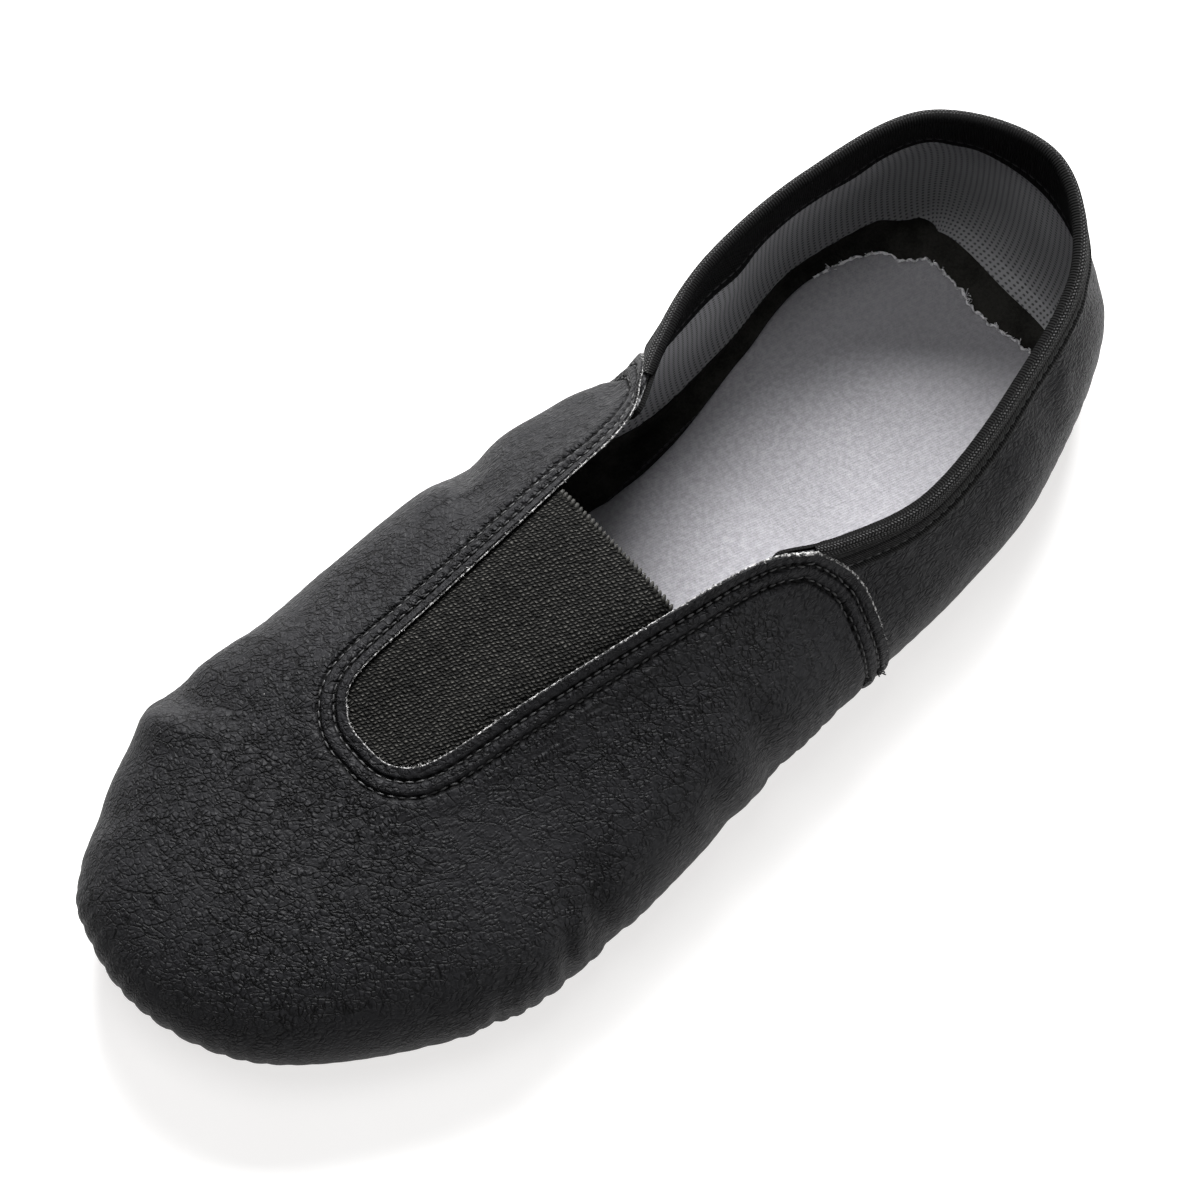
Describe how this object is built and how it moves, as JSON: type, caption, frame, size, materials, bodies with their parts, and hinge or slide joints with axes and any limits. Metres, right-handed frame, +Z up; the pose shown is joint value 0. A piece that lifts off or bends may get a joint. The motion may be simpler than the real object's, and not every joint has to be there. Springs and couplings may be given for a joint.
{
  "type": "gymnastics slipper",
  "caption": "Left soft leather slipper for gymnastics or ballet, with an elastic gusset in the throat, a taped topline, a grey fleece sock and a suede sole.",
  "frame": {"origin": "middle of the shoe's length and width, on the floor that it stands on", "axes": "+X from heel to toe, +Y to the outer side of the left foot, +Z up"},
  "size_m": [0.2476, 0.0964, 0.0531],
  "materials": {
    "black_leather": "pebbled, soft sheen",
    "sole_suede": "brushed suede",
    "felt_board": "matte felted board",
    "sock_fleece": "brushed twill",
    "binding_tape": "ribbed woven tape",
    "elastic_webbing": "ribbed woven elastic",
    "lining_knit": "perforated knit mesh",
    "sewing_thread": "twisted polyester"
  },
  "bodies": {
    "root": {"outsole": "sole_suede", "upper": "black_leather", "insole": "felt_board", "sock_lining": "sock_fleece", "collar_binding": "binding_tape", "elastic_gusset": "elastic_webbing"}
  },
  "joints": []
}
